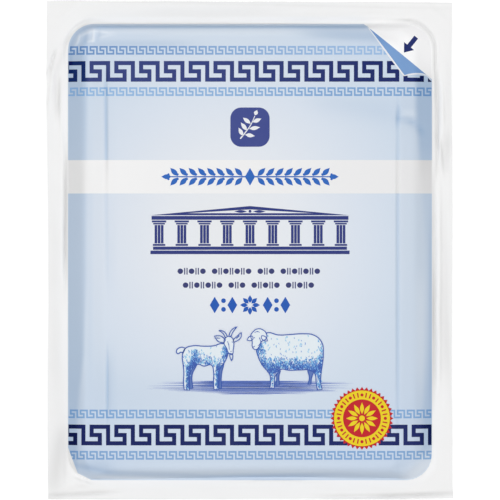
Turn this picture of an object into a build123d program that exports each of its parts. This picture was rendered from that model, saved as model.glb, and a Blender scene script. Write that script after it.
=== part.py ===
from build123d import *
import os

os.makedirs("parts", exist_ok=True)

# A flat vacuum pack with one block of cheese sealed in it, lying on the floor of
# its pocket with the printed film up. Millimetres. +X is the print's right, +Y its
# head and +Z is up. The origin is on the ground, under the middle of the pack.

# Whole pack, cut square from two webs of film
pack_width = 108.0
pack_length = 132.5
web_thickness = 0.3
film_thickness = 0.2

# Sealed rim, from the cut edge of the pack to the mouth of the pocket
rim_side = 5.5
rim_head = 6.0
rim_foot = 4.9

# Pocket formed in the lower web, with its mouth at the rim
mouth_corner = 7.0
pocket_depth = 8.6          # ground to the underside of the rim
pocket_draft = 16.0         # degrees that the walls lean outwards
floor_fillet = 4.5          # pocket wall into pocket floor
rim_fillet = 0.9            # pocket wall into the underside of the rim

# Top film, pulled down tight over the block that stands proud of the mouth.
# It climbs steeply from the mouth to the shoulder, then gently to the flat top.
steep_left = 4.0
steep_right = 4.5
steep_head = 1.2
steep_foot = 1.0
steep_height = 2.9
shoulder_left = 6.3
shoulder_right = 4.6
shoulder_head = 3.1
shoulder_foot = 1.4
shoulder_height = 1.5
shoulder_corner = 6.0
flat_corner = 4.5
crease_fillet = 0.5         # film round the edge of the flat top

# Ridge that the sealing tool leaves in the film round the mouth
ridge_gap = 0.9
ridge_width = 1.5
ridge_height = 0.35
ridge_fillet = 0.28         # its top edges

web_top = pocket_depth + web_thickness
film_top = web_top + film_thickness

# Sides of the mouth, of the shoulder and of the flat top, as (left, right, foot, head)
mouth = (
    rim_side - pack_width / 2,
    pack_width / 2 - rim_side,
    rim_foot - pack_length / 2,
    pack_length / 2 - rim_head,
)
shoulder = (
    mouth[0] + steep_left,
    mouth[1] - steep_right,
    mouth[2] + steep_foot,
    mouth[3] - steep_head,
)
flat_top = (
    shoulder[0] + shoulder_left,
    shoulder[1] - shoulder_right,
    shoulder[2] + shoulder_foot,
    shoulder[3] - shoulder_head,
)


def outline(sides, corner, grow=0.0, mode=Mode.ADD):
    """Rectangle with round corners between four sides, moved outwards by grow."""
    left, right, foot, head = sides
    with Locations(((left + right) / 2, (foot + head) / 2)):
        RectangleRounded(right - left + 2 * grow, head - foot + 2 * grow, corner + grow, mode=mode)


# Lower web: a thin rim round a deep-drawn pocket, which the cheese fills
with BuildPart() as tray:
    with BuildSketch(Plane.XY.offset(pocket_depth)):
        outline(mouth, mouth_corner)
    extrude(amount=-pocket_depth, taper=pocket_draft)
    fillet(tray.faces().sort_by(Axis.Z)[0].edges(), radius=floor_fillet)
    with BuildSketch(Plane.XY.offset(pocket_depth)):
        Rectangle(pack_width, pack_length)
    extrude(amount=web_thickness)
    rim_underside = tray.faces().filter_by(Axis.Z).sort_by(Axis.Z)[1]
    fillet(rim_underside.inner_wires()[0].edges(), radius=rim_fillet)
tray.part.label = "tray"
export_step(tray.part, "parts/tray.step")


# Top film: the flat rim, the ridge of the seal, and the swell over the block
with BuildPart() as top_film:
    with BuildSketch(Plane.XY.offset(web_top)):
        Rectangle(pack_width, pack_length)
    extrude(amount=film_thickness)
    with BuildSketch(Plane.XY.offset(film_top)):
        outline(mouth, mouth_corner, grow=ridge_gap + ridge_width)
        outline(mouth, mouth_corner, grow=ridge_gap, mode=Mode.SUBTRACT)
    extrude(amount=ridge_height)
    ridge_top = top_film.faces().filter_by(Axis.Z).sort_by(Axis.Z)[-1]
    fillet(ridge_top.edges(), radius=ridge_fillet)
    with BuildSketch(Plane.XY.offset(film_top)):
        outline(mouth, mouth_corner)
    with BuildSketch(Plane.XY.offset(film_top + steep_height)):
        outline(shoulder, shoulder_corner)
    with BuildSketch(Plane.XY.offset(film_top + steep_height + shoulder_height)):
        outline(flat_top, flat_corner)
    loft(ruled=True)
    top_face = top_film.faces().filter_by(Axis.Z).sort_by(Axis.Z)[-1]
    fillet(top_face.edges(), radius=crease_fillet)
top_film.part.label = "top_film"
export_step(top_film.part, "parts/top_film.step")
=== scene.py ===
import math
import random

import bpy
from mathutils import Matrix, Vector


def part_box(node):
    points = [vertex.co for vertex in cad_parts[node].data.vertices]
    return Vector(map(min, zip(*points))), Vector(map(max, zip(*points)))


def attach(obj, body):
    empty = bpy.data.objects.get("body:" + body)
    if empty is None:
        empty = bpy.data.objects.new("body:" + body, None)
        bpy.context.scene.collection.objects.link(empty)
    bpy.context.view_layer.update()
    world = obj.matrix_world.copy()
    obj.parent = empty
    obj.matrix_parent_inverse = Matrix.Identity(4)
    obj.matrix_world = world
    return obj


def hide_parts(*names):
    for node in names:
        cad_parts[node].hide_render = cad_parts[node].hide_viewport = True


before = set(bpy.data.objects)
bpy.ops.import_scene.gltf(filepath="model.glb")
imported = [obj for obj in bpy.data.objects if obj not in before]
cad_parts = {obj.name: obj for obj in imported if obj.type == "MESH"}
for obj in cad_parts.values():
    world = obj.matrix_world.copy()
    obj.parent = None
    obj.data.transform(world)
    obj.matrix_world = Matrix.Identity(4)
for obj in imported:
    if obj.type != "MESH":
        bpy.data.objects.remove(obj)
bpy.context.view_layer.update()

mm = 0.001


# ------------------------------------------------------------------ top film
# The lid of the pack: a plastic film a fifth of a millimetre thick, cut square, welded to the lower
# web all round the mouth and sucked down over the block when the air was drawn out of the pack.

film_low, film_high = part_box("top_film")
half_width = film_high.x
half_length = film_high.y
film_thickness = 0.2 * mm

rim_side = 5.5 * mm
rim_head = 6.0 * mm
rim_foot = 4.9 * mm
mouth_corner = 7.0 * mm
mouth_half = Vector((half_width - rim_side, half_length - (rim_head + rim_foot) / 2))
mouth_middle = Vector((0.0, (rim_foot - rim_head) / 2))

flange_top = film_low.z + film_thickness
sheet_start = film_high.z + 5 * mm
edge_trim = 0.01 * mm
side_band = 16.5 * mm
side_cuts = 62
end_band = 15.0 * mm
end_cuts = 46
middle_cuts_across = 30
middle_cuts_along = 170
end_fold_sides = (6 * mm, 16 * mm)
foot_fold_inset = 0.9 * mm
foot_fold_start = (half_length - 12 * mm, half_length - 7.5 * mm)
foot_fold_stop = (2 * mm, 4.5 * mm)
head_fold_width = 1.2 * mm
head_fold_draw = 1.3
head_fold_reach = 8 * mm
head_fold_end = 26 * mm
block_smoothing = 36
ridge_share = 0.12


def start_piece(name):
    """Names the primitive that was just added and opens it for editing, all of it selected."""
    piece = bpy.context.object
    piece.name = name
    piece.data.name = name
    bpy.ops.object.mode_set(mode="EDIT")
    bpy.ops.mesh.select_all(action="SELECT")
    return piece


def pick(piece, mode, wanted):
    """Selects the vertices, edges or faces for which wanted says yes, and nothing else."""
    bpy.ops.mesh.select_mode(type=mode)
    bpy.ops.mesh.select_all(action="DESELECT")
    bpy.ops.object.mode_set(mode="OBJECT")
    mesh = piece.data
    items = {"VERT": mesh.vertices, "EDGE": mesh.edges, "FACE": mesh.polygons}[mode]
    for item in items:
        item.select = wanted(item)
    bpy.ops.object.mode_set(mode="EDIT")


def on_axis(axis, length=1.0):
    """A vector along one axis: 0 across the pack, 1 along it."""
    arrow = Vector()
    arrow[axis] = length
    return arrow


def cut(place, normal, drop_outer=False):
    """Bisects the open piece by a plane, and drops what lies on its outer side if asked."""
    bpy.ops.mesh.select_all(action="SELECT")
    bpy.ops.mesh.bisect(plane_co=place, plane_no=normal, clear_outer=drop_outer, threshold=1e-7)


def apply(piece, kind, **settings):
    """Adds a modifier with these settings and applies it."""
    modifier = piece.modifiers.new(kind.title(), kind)
    for key, value in settings.items():
        setattr(modifier, key, value)
    bpy.ops.object.modifier_apply(modifier=modifier.name)


def drop_onto(piece, target):
    """Lets each point of a piece fall straight down onto a target."""
    apply(piece, "SHRINKWRAP", target=target, wrap_method="PROJECT", use_project_z=True,
          use_negative_direction=True, use_positive_direction=False)


def edges_along(piece, axis, low, high):
    """Edges that run along an axis (0 across, 1 along) with their middle between two values on it."""
    points = piece.data.vertices

    def wanted(edge):
        a, b = (points[i].co for i in edge.vertices)
        return abs(a[axis] - b[axis]) > 1e-6 and low < (a[axis] + b[axis]) / 2 < high

    pick(piece, "EDGE", wanted)


bpy.ops.object.select_all(action="DESELECT")
bpy.ops.mesh.primitive_plane_add(size=2, location=(0, 0, 0))
film = start_piece("top_film_sheet")
bpy.ops.transform.resize(value=(half_width - edge_trim, half_length - edge_trim, 1))
bpy.ops.transform.translate(value=(0, 0, sheet_start))
for axis, reach, band in ((0, half_width, side_band), (1, half_length, end_band)):
    for side in (-1, 1):
        cut(on_axis(axis, side * (reach - band)), on_axis(axis))
for axis, reach, band, band_cuts, middle_cuts in (
    (0, half_width, side_band, side_cuts, middle_cuts_across),
    (1, half_length, end_band, end_cuts, middle_cuts_along),
):
    for low, high, cuts in (
        (-reach, band - reach, band_cuts),
        (band - reach, reach - band, middle_cuts),
        (reach - band, reach, band_cuts),
    ):
        edges_along(film, axis, low, high)
        bpy.ops.mesh.subdivide(number_cuts=cuts)
bpy.ops.object.mode_set(mode="OBJECT")


def smooth_step(value, low, high):
    """Rises from 0 to 1 between two values, without a corner at either."""
    share = min(max((value - low) / (high - low), 0.0), 1.0)
    return share * share * (3 - 2 * share)


def beyond_mouth(x, y):
    """Distance from the mouth's rounded outline, in metres; below 0 over the pocket."""
    reach_x = abs(x - mouth_middle.x) - mouth_half.x + mouth_corner
    reach_y = abs(y - mouth_middle.y) - mouth_half.y + mouth_corner
    outside = math.hypot(max(reach_x, 0.0), max(reach_y, 0.0))
    return outside + min(max(reach_x, reach_y), 0.0) - mouth_corner


# The film's lines near both ends are drawn towards the foot while it is laid over the model, and are then
# let back: it dips closer to the block at the foot, and further from it at the head.
drawn = []
for vertex in film.data.vertices:
    x, y = vertex.co.x, vertex.co.y
    straight = smooth_step(half_width - abs(x), *end_fold_sides)
    wave = 0.75 + 0.25 * math.cos((x / mm - 8) * 0.07)
    draw_foot = foot_fold_inset * wave * smooth_step(-y, *foot_fold_start)
    draw_foot *= smooth_step(y + half_length, *foot_fold_stop)
    gap = mouth_middle.y + mouth_half.y - y
    draw_head = head_fold_draw * min(max(gap, 0.0), head_fold_width)
    draw_head *= smooth_step(head_fold_reach - gap, 0, head_fold_reach - head_fold_width)
    draw_head *= smooth_step(head_fold_end - x, 0, 16 * mm)
    drawn.append(straight * (draw_foot + draw_head))
    vertex.co.y -= drawn[-1]
drop_onto(film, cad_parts["top_film"])
slopes = film.vertex_groups.new(name="slopes")
for vertex, draw in zip(film.data.vertices, drawn):
    vertex.co.y += draw
    distance = beyond_mouth(vertex.co.x, vertex.co.y)
    crisp = 0.9 * smooth_step(vertex.co.y, 48 * mm, 53 * mm)
    crisp *= smooth_step(head_fold_end - vertex.co.x, 0, 10 * mm)
    soft = 1 - smooth_step(distance, -1.6 * mm, -0.8 * mm)
    soft *= 1 - crisp
    slopes.add([vertex.index], soft, "REPLACE")
    if distance > 0.4 * mm:
        vertex.co.z = flange_top + (vertex.co.z - flange_top) * ridge_share
apply(film, "SMOOTH", factor=0.5, iterations=block_smoothing, use_x=False, use_y=False,
      vertex_group="slopes")
apply(film, "SMOOTH", factor=0.5, iterations=2, use_x=False, use_y=False)
film.vertex_groups.clear()

# Folds of the film, each with its middle, the turn of its crest from the print's right, its half length,
# its half width and its height, in millimetres and degrees, and the share of light painted off its colour
# there as shade, below 0 for a painted highlight. A groove has a height below 0.
fold_height = 5
fold_light = 6
rim_folds = [
    (-52.7, 50.0, 72, 3.4, 0.35, -0.40, 0.16),
    (-50.7, 50.0, 68, 4.2, 0.9, 0.22, 0.06),
    (-51.3, 41.0, 88, 5.6, 0.75, -0.45, 0.13),
    (-52.9, 43.0, 84, 6.0, 0.45, 0.25, 0.0),
    (-50.3, 36.0, 91, 9.0, 0.4, 0.22, 0.0),
    (-49.3, 9.0, 90, 18, 0.5, -0.45, 0.25),
    (-50.6, -38.0, 90, 16, 2.6, 0.0, 0.045),
    (-52.0, -10.0, 90, 26, 1.6, 0.15, 0.05),
    (-51.3, -56.0, 80, 8.5, 2.3, -0.15, 0.15),
    (-49.3, -57.0, 88, 5.0, 0.6, 0.0, 0.05),
    (-44.6, -61.5, -20, 2.4, 0.3, -0.25, 0.12),
    (-45.3, -60.9, -30, 1.6, 0.3, 0.15, -0.06),
    (-47.0, -62.6, 14, 6.0, 0.9, 0.25, 0.0),
    (-46.0, -65.0, 3, 9.0, 0.5, -0.45, 0.16),
    (49.9, 37.5, 90, 10.5, 0.6, -0.50, 0.23),
    (48.7, 34.0, 90, 9.0, 0.3, -0.10, 0.09),
    (51.5, 38.0, 91, 7.5, 0.5, 0.28, 0.0),
    (49.9, 25.5, 89, 6.0, 0.35, -0.30, 0.13),
    (51.0, 24.5, 96, 5.5, 0.4, 0.30, 0.0),
    (52.3, 25.5, 80, 5.2, 1.5, -0.40, 0.10),
    (53.0, 36.0, 90, 16, 0.9, 0.0, 0.05),
    (49.0, -6.0, 90, 27, 0.6, -0.25, 0.20),
    (49.1, -22.0, 90, 16, 0.6, -0.10, 0.13),
    (50.5, -10.0, 90, 28, 0.6, 0.25, 0.0),
    (52.6, -14.0, 92, 24, 1.2, -0.22, 0.08),
    (51.8, -23.0, 90, 11, 1.6, -0.10, 0.06),
    (51.6, -48.0, 88, 9.0, 1.6, 0.20, 0.0),
    (49.0, -36.0, 90, 7.0, 0.5, -0.10, 0.06),
    (-12.0, 63.3, 1, 19, 1.3, -0.30, 0.05),
    (8.0, 65.4, -1, 44, 0.4, -0.12, 0.05),
    (24.0, 62.4, 1, 18, 0.9, 0.20, 0.0),
    (-46.3, 58.0, 44, 5.0, 0.9, -0.15, 0.07),
    (44.0, -65.3, 2, 10, 0.50, -0.50, 0.20),
    (28.0, -65.6, 1, 10, 0.4, -0.30, 0.08),
    (-49.5, 62.6, 40, 5.0, 1.0, 0.22, 0.0),
    (50.0, 63.2, -42, 5.0, 1.0, 0.20, 0.0),
]
block_folds = [
    (-38.3, 34.0, 90.5, 13, 0.5, -0.32, 0.15),
    (-38.1, 8.0, 91, 17, 0.6, -0.20, 0.05),
    (-37.9, -36.0, 90, 9.5, 0.4, -0.30, 0.14),
    (-41.6, 4.0, 90, 60, 1.5, -0.10, 0.0),
    (-42.6, 0.0, 90, 34, 0.9, 0.0, 0.035),
    (-28.0, -38.0, 0, 18, 8.0, 0.0, 0.025),
    (39.3, -5.5, 90, 43, 0.5, -0.30, 0.10),
    (45.5, -22.0, 90, 15, 1.6, 0.0, -0.05),
    (48.1, -18.0, 90, 28, 0.45, 0.0, 0.07),
    (29.0, 38.0, -8, 13, 3.5, 0.0, 0.04),
    (39.4, 35.6, 86, 2.8, 0.6, -0.15, 0.08),
    (41.5, 34.6, -12, 2.8, 0.8, -0.20, 0.08),
    (44.4, 32.8, -42, 2.8, 0.9, -0.18, 0.06),
    (42.6, 36.4, 0, 2.3, 0.9, 0.20, -0.05),
    (-45.7, 56.2, 75, 1.3, 0.38, 0.22, -0.13),
    (-41.7, 57.0, 84, 1.7, 0.42, 0.22, -0.13),
    (-42.4, 55.6, 5, 1.1, 0.38, 0.15, -0.10),
    (-43.4, 57.8, 25, 1.8, 0.42, 0.18, -0.11),
    (-43.8, 56.3, 80, 1.5, 0.7, -0.20, 0.08),
    (-39.4, 58.1, -8, 2.4, 0.35, 0.12, -0.09),
    (-38.6, 56.9, 12, 2.0, 0.35, 0.10, -0.06),
    (-46.6, 54.2, 60, 1.2, 0.35, 0.12, -0.09),
    (-34.0, 58.2, 2, 9.0, 0.7, 0.12, -0.04),
    (-30.0, 55.0, 0, 15, 0.9, -0.12, 0.07),
    (-6.0, 57.9, 0, 26, 0.9, 0.06, -0.05),
    (45.5, 55.5, -52, 9.0, 3.5, 0.0, -0.06),
    (46.2, -57.9, 42, 6.5, 2.6, 0.0, -0.16),
    (4.0, -58.4, 0, 36, 1.5, 0.0, -0.03),
    (-34.0, -60.7, -2, 9.0, 0.4, 0.0, -0.10),
    (27.0, 57.2, -4, 13, 1.7, -0.10, 0.09),
    (-41.0, -58.5, -11, 6.0, 0.7, -0.15, 0.08),
    (-24.0, -59.8, -2, 14, 0.6, -0.15, 0.08),
    (4.0, -60.2, 1, 17, 0.55, -0.20, 0.10),
    (28.0, -60.0, -3, 9.0, 0.45, -0.15, 0.03),
    (0.0, -60.9, 0, 40, 0.3, 0.0, -0.05),
    (44.0, -57.6, 38, 4.5, 0.9, 0.15, 0.0),
    (-44.6, -60.5, -26, 1.9, 0.4, 0.15, -0.17),
    (-47.5, -56.8, 111, 3.2, 0.4, 0.10, -0.10),
    (-41.0, -57.3, 0, 5.0, 1.6, 0.0, 0.04),
    (-40.3, 57.3, 80, 1.6, 0.5, -0.10, 0.05),
]
# A groove runs outside the mouth, strong in some places and faint in others: middle, reach across and
# along, and strength.
rim_groove = [
    (47.0, 58.0, 9.0, 9.0, 1.0),
    (49.5, 50.0, 3.0, 6.0, 0.5),
    (-47.0, 57.0, 8.0, 7.0, 0.6),
]
groove_away = 0.95 * mm
groove_half = 0.40 * mm
groove_height = 0.4
# Share of light painted off the film's colour along the groove, as painted shade.
groove_light = 0.17
# Where the film leaves the block at the sides: place along the pack, and place across it.
left_crest = [(-45, -46.0), (-37, -45.4), (-28, -44.3), (-8, -43.6), (52, -43.4)]
right_crest = [(-50, 45.8), (-38, 46.4), (-10, 47.2), (0, 47.0), (18, 45.6), (30, 44.8), (36, 44.2),
               (52, 44.2)]
# Painted shade in a line along the mouth's outline at the head, up to the peel corner and fainter at the
# left.
head_line_inset = 0.75 * mm
head_line_half = 0.5 * mm
head_line_light = 0.20
head_line_start = (44 * mm, 52 * mm)
head_line_right = (30 * mm, 34 * mm)
head_line_left = (-47 * mm, -38 * mm)
# Painted shade on the slope at each side, and what more the right one is given towards the head and the
# foot, with the stretches of the pack's length over which each comes or goes.
left_light = 0.10
left_light_stop = (51 * mm, 57 * mm)
right_light = 0.05
right_light_stops = (44 * mm, 50 * mm), (52 * mm, 58 * mm)
right_head_light = 0.09
right_head_start = (14 * mm, 30 * mm)
right_foot_light = 0.04
right_foot_start = (22 * mm, 38 * mm)
# Slow waves of the rim: height in millimetres, radians a millimetre across and along, and the start.
rim_waves = [
    (0.14, 0.0, 0.21, 1.3),
    (0.08, 0.4, 0.53, 0.0),
    (0.12, 0.19, 0.0, 0.4),
    (0.06, 0.61, -0.3, 0.0),
]
# How far the cut edges are out of square.
foot_skew = 0.25 * mm
head_skew = 0.2 * mm
side_skew = 0.1 * mm
left_head_skew = 0.4 * mm
corner_reach = 0.3 * mm


def fold_sum(x, y, folds, column):
    """Sum of one column over the folds at a place; each fold fades out along and across its crest."""
    total = 0.0
    for fold in folds:
        middle_x, middle_y, turn, half_long, half_wide = fold[:5]
        away_x, away_y = x / mm - middle_x, y / mm - middle_y
        if abs(away_x) + abs(away_y) > 2.2 * half_long + 4 * half_wide or fold[column] == 0:
            continue
        crest_x, crest_y = math.cos(math.radians(turn)), math.sin(math.radians(turn))
        along = (away_x * crest_x + away_y * crest_y) / half_long
        across = (away_x * crest_y - away_y * crest_x) / half_wide
        total += fold[column] * math.exp(-along ** 4 - across ** 2)
    return total


def groove_depth(x, y, distance):
    """How deep the groove outside the mouth is at a place, from 0 to 1."""
    total = 0.0
    for middle_x, middle_y, reach_x, reach_y, strength in rim_groove:
        away = ((x / mm - middle_x) / reach_x) ** 2 + ((y / mm - middle_y) / reach_y) ** 2
        total += strength * math.exp(-away ** 2)
    return min(total, 1.0) * math.exp(-((distance - groove_away) / groove_half) ** 2)


def between(points, value):
    """Second number of a line through pairs, read where its first number has a value."""
    for (low, first), (high, second) in zip(points, points[1:]):
        if value < high:
            return first + (second - first) * max((value - low) / (high - low), 0.0)
    return points[-1][1]


def lost_light(x, y):
    """Painted shade where the film hangs free beside the block and in its folds; below 0, painted light.
    """
    distance = beyond_mouth(x, y)
    if distance > 0:
        return fold_sum(x, y, rim_folds, fold_light) + groove_light * groove_depth(x, y, distance)
    lost = fold_sum(x, y, block_folds, fold_light)
    left = left_light * (1 - 0.7 * smooth_step(y, *left_light_stop))
    lost += left * smooth_step(between(left_crest, y / mm) - x / mm, -0.8, 0.8)
    right = right_light + right_head_light * smooth_step(y, *right_head_start)
    right += right_foot_light * smooth_step(-y, *right_foot_start)
    head_stop, foot_stop = right_light_stops
    right *= 1 - 0.85 * smooth_step(y, *head_stop) - smooth_step(-y, *foot_stop)
    lost += right * smooth_step(x / mm - between(right_crest, y / mm), -1.0, 1.0)
    head = smooth_step(y, *head_line_start) * (1 - smooth_step(x, *head_line_right))
    head *= 0.3 + 0.7 * smooth_step(x, *head_line_left)
    return lost + head_line_light * head * math.exp(-((distance + head_line_inset) / head_line_half) ** 2)


def mark_shade(piece):
    """Notes the painted shade on each point of a piece."""
    shade = piece.data.attributes.new("lost_light", "FLOAT", "POINT")
    shares = [lost_light(vertex.co.x, vertex.co.y) for vertex in piece.data.vertices]
    shade.data.foreach_set("value", shares)


def ripple_rim(piece):
    """Lays the same slow waves, folds and uneven cut edges into every sheet of the welded rim."""
    for vertex in piece.data.vertices:
        x, y = vertex.co.x, vertex.co.y
        distance = beyond_mouth(x, y)
        free = smooth_step(distance, 0.3 * mm, 2.5 * mm)
        near = smooth_step(distance, -0.1 * mm, 0.7 * mm)
        wave = sum(height * math.sin(x / mm * turn_x + y / mm * turn_y + start)
                   for height, turn_x, turn_y, start in rim_waves)
        folds = fold_sum(x, y, rim_folds, fold_height) - groove_height * groove_depth(x, y, distance)
        vertex.co.z += (free * wave + near * folds) * mm
        across = 0.5 - x / (2 * half_width)
        head = smooth_step(y, half_length - rim_head, half_length)
        foot = smooth_step(-y, half_length - rim_foot, half_length)
        side = smooth_step(abs(x), half_width - rim_side, half_width)
        right_foot = foot * smooth_step(x, half_width - 9 * mm, half_width)
        vertex.co.y += head * (head_skew * (2 * across - 1) + 0.05 * mm * math.sin(x / mm * 0.23))
        vertex.co.y -= foot * foot_skew * across
        left_head = smooth_step(-x, half_width - rim_side, half_width) * smooth_step(y, 10 * mm, 60 * mm)
        vertex.co.x -= left_head_skew * left_head
        uneven = math.sin(y / mm * 0.09 + math.copysign(0.8, x)) - 1
        vertex.co.x += math.copysign(side, x) * side_skew * uneven
        vertex.co.x += right_foot * side * corner_reach


for vertex in film.data.vertices:
    if beyond_mouth(vertex.co.x, vertex.co.y) < 0:
        vertex.co.z += fold_sum(vertex.co.x, vertex.co.y, block_folds, fold_height) * mm
mark_shade(film)
ripple_rim(film)
apply(film, "SOLIDIFY", thickness=film_thickness, offset=-1)
bpy.ops.object.shade_smooth_by_angle(angle=math.radians(50))

film_ior = 1.48
film_roughness = 0.32
print_softness = 0.03 * mm


def tint(red, green, blue):
    """Colour given as a printer's 0 to 255 values, made linear."""
    parts = [value / 255 for value in (red, green, blue)]
    return tuple(p / 12.92 if p <= 0.04045 else ((p + 0.055) / 1.055) ** 2.4 for p in parts) + (1.0,)


def feed(tree, socket, value):
    """Gives a socket a link or a plain value."""
    if isinstance(value, bpy.types.NodeSocket):
        tree.links.new(value, socket)
    else:
        socket.default_value = value


def calculate(tree, operation, first, second=0.0):
    """One step of sums on numbers, each a link or a plain value."""
    node = tree.nodes.new("ShaderNodeMath")
    node.operation = operation
    feed(tree, node.inputs[0], first)
    feed(tree, node.inputs[1], second)
    return node.outputs[0]


def vector(tree, operation, first, second=(0, 0, 0)):
    """One step of sums on places or colours, each a link or plain values."""
    node = tree.nodes.new("ShaderNodeVectorMath")
    node.operation = operation
    feed(tree, node.inputs[0], first)
    feed(tree, node.inputs[1], second)
    return node.outputs["Value" if operation in ("LENGTH", "DOT_PRODUCT") else "Vector"]


def scale(tree, value, low=0.0, high=1.0, to_low=0.0, to_high=1.0):
    """Takes a value from one range to another, and holds it at the ends."""
    node = tree.nodes.new("ShaderNodeMapRange")
    ends = {"From Min": low, "From Max": high, "To Min": to_low, "To Max": to_high}
    for socket, end in ends.items():
        node.inputs[socket].default_value = end
    tree.links.new(value, node.inputs["Value"])
    return node.outputs["Result"]


def inside(tree, distance):
    """1 where a distance is below 0 and 0 where it is above, with a print's soft edge."""
    return scale(tree, distance, print_softness, -print_softness)


def blend(tree, share, low, high):
    """A colour between two others."""
    node = tree.nodes.new("ShaderNodeMix")
    node.data_type = "RGBA"
    feed(tree, node.inputs["Factor"], share)
    feed(tree, node.inputs[6], low)
    feed(tree, node.inputs[7], high)
    return node.outputs[2]


def clouds(tree, place, size, detail=2.0):
    """Soft uneven patches from 0 to 1, of about this size in metres."""
    node = tree.nodes.new("ShaderNodeTexNoise")
    tree.links.new(place, node.inputs["Vector"])
    node.inputs["Scale"].default_value = 1 / size
    node.inputs["Detail"].default_value = detail
    return node.outputs["Fac"]


def film_finish(name):
    """Starts the finish of a film, or of the ink on it: uneven gloss, and the fine crinkle of a vacuum."""
    finish = bpy.data.materials.new(name)
    finish.use_nodes = True
    tree = finish.node_tree
    shader = tree.nodes["Principled BSDF"]
    shader.inputs["IOR"].default_value = film_ior
    place = tree.nodes.new("ShaderNodeTexCoord").outputs["Object"]
    gloss = scale(tree, clouds(tree, place, 9 * mm), 0, 1, film_roughness - 0.05, film_roughness + 0.05)
    tree.links.new(gloss, shader.inputs["Roughness"])
    crinkle = tree.nodes.new("ShaderNodeBump")
    crinkle.inputs["Strength"].default_value = 0.35
    crinkle.inputs["Distance"].default_value = 0.05 * mm
    tree.links.new(clouds(tree, place, 2.2 * mm, 3.0), crinkle.inputs["Height"])
    tree.links.new(crinkle.outputs["Normal"], shader.inputs["Normal"])
    return finish, tree, shader, place


def split_up(tree, place):
    """The X, Y and Z of a place, each as an output of its own."""
    split = tree.nodes.new("ShaderNodeSeparateXYZ")
    tree.links.new(place, split.inputs["Vector"])
    return split.outputs


def outline_distance(tree, level, half, middle, corner):
    """Distance from an upright box with round corners, seen from above; below 0 inside it."""
    from_middle = vector(tree, "ABSOLUTE", vector(tree, "SUBTRACT", level, (*middle, 0)))
    reach = vector(tree, "SUBTRACT", from_middle, (half.x - corner, half.y - corner, 0))
    round_part = vector(tree, "LENGTH", vector(tree, "MAXIMUM", reach))
    parts = split_up(tree, reach)
    longest = calculate(tree, "MAXIMUM", parts["X"], parts["Y"])
    flat_part = calculate(tree, "MINIMUM", longest)
    return calculate(tree, "SUBTRACT", calculate(tree, "ADD", round_part, flat_part), corner)


def beyond_line(tree, level, point, out):
    """Distance from a line through a point, above 0 on the side that out points to."""
    return vector(tree, "DOT_PRODUCT", vector(tree, "SUBTRACT", level, (*point, 0)), (*out, 0))


def darken(tree, colour, strength):
    """Takes the lost light off a colour, each of its three parts with a strength of its own."""
    lost = tree.nodes.new("ShaderNodeAttribute")
    lost.attribute_name = "lost_light"
    spread = vector(tree, "MULTIPLY", lost.outputs["Fac"], strength)
    return vector(tree, "MULTIPLY", colour, vector(tree, "SUBTRACT", (1, 1, 1), spread))


# Printed ground: pale blue over the whole mouth, lightest in the middle, with a white band across it that
# is painted darker towards the right as shade, and a white corner at the head where the print shows the
# film folded back. At the foot on the left the white rim is turned in over the mouth's corner.
band_middle = 19.5 * mm
band_half = 4.45 * mm
peel_head = Vector((31.5, 59.3)) * mm
peel_foot = Vector((41.0, 46.4)) * mm
peel_side = Vector((47.5, 46.3)) * mm
turned_in = [Vector(point) * mm for point in ((-48.6, -52.4), (-45.9, -59.5), (-42.4, -61.25))]
glow_middle = (-5 * mm, 5 * mm, 0)
glow_reach = (1 / (66 * mm), 1 / (72 * mm), 0)
soft_shade = (2.2, 1.6, 0.95)

finish, tree, shader, place = film_finish("printed_film")
level = vector(tree, "MULTIPLY", place, (1, 1, 0))
level_parts = split_up(tree, level)
edge = outline_distance(tree, level, mouth_half, mouth_middle, mouth_corner)
in_mouth = inside(tree, edge)
for start, end in zip(turned_in, turned_in[1:]):
    out = Vector((end.y - start.y, start.x - end.x)).normalized()
    in_mouth = calculate(tree, "MULTIPLY", in_mouth, inside(tree, beyond_line(tree, level, start, out)))
fold_line = (peel_side - peel_head).normalized()
before_fold = inside(tree, beyond_line(tree, level, peel_head, Vector((-fold_line.y, fold_line.x))))
printed = calculate(tree, "MULTIPLY", in_mouth, before_fold)
off_band = calculate(tree, "ABSOLUTE", calculate(tree, "SUBTRACT", level_parts["Y"], band_middle))
beside_band = inside(tree, calculate(tree, "SUBTRACT", band_half, off_band))
printed = calculate(tree, "MULTIPLY", printed, beside_band)
from_glow = vector(tree, "SUBTRACT", level, glow_middle)
glow = vector(tree, "LENGTH", vector(tree, "MULTIPLY", from_glow, glow_reach))
ramp = tree.nodes.new("ShaderNodeValToRGB")
tree.links.new(glow, ramp.inputs["Fac"])
ramp.color_ramp.elements[0].color = tint(231, 233, 235)
ramp.color_ramp.elements[1].color = tint(196, 211, 230)
for position, colour in ((0.25, (227, 231, 237)), (0.52, (214, 223, 235)), (0.74, (203, 216, 231))):
    ramp.color_ramp.elements.new(position).color = tint(*colour)
# The white band is painted darker from its left end to its right: painted shade.
across = scale(tree, level_parts["X"], -half_width, half_width)
white_band_painted_shade = blend(tree, across, tint(244, 244, 244), tint(231, 231, 232))
white_print = blend(tree, before_fold, tint(252, 252, 253), white_band_painted_shade)
white_film = blend(tree, in_mouth, tint(241, 241, 241), white_print)
ground = blend(tree, printed, white_film, ramp.outputs["Color"])
# Painted shade and painted highlights from the noted share go into the colour, bluer over the print.
shaded = darken(tree, ground, blend(tree, printed, (1, 1, 1, 1), (*soft_shade, 1)))
tree.links.new(shaded, shader.inputs["Base Color"])
film.data.materials.append(finish)
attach(film, "root")
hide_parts("top_film")


# ------------------------------------------------------------------ lower web
# A thicker plastic film, drawn hot into a mould to make the pocket that the block lies in. Its rim
# is welded to the top film and cut with it, so the two share every wave.

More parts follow.
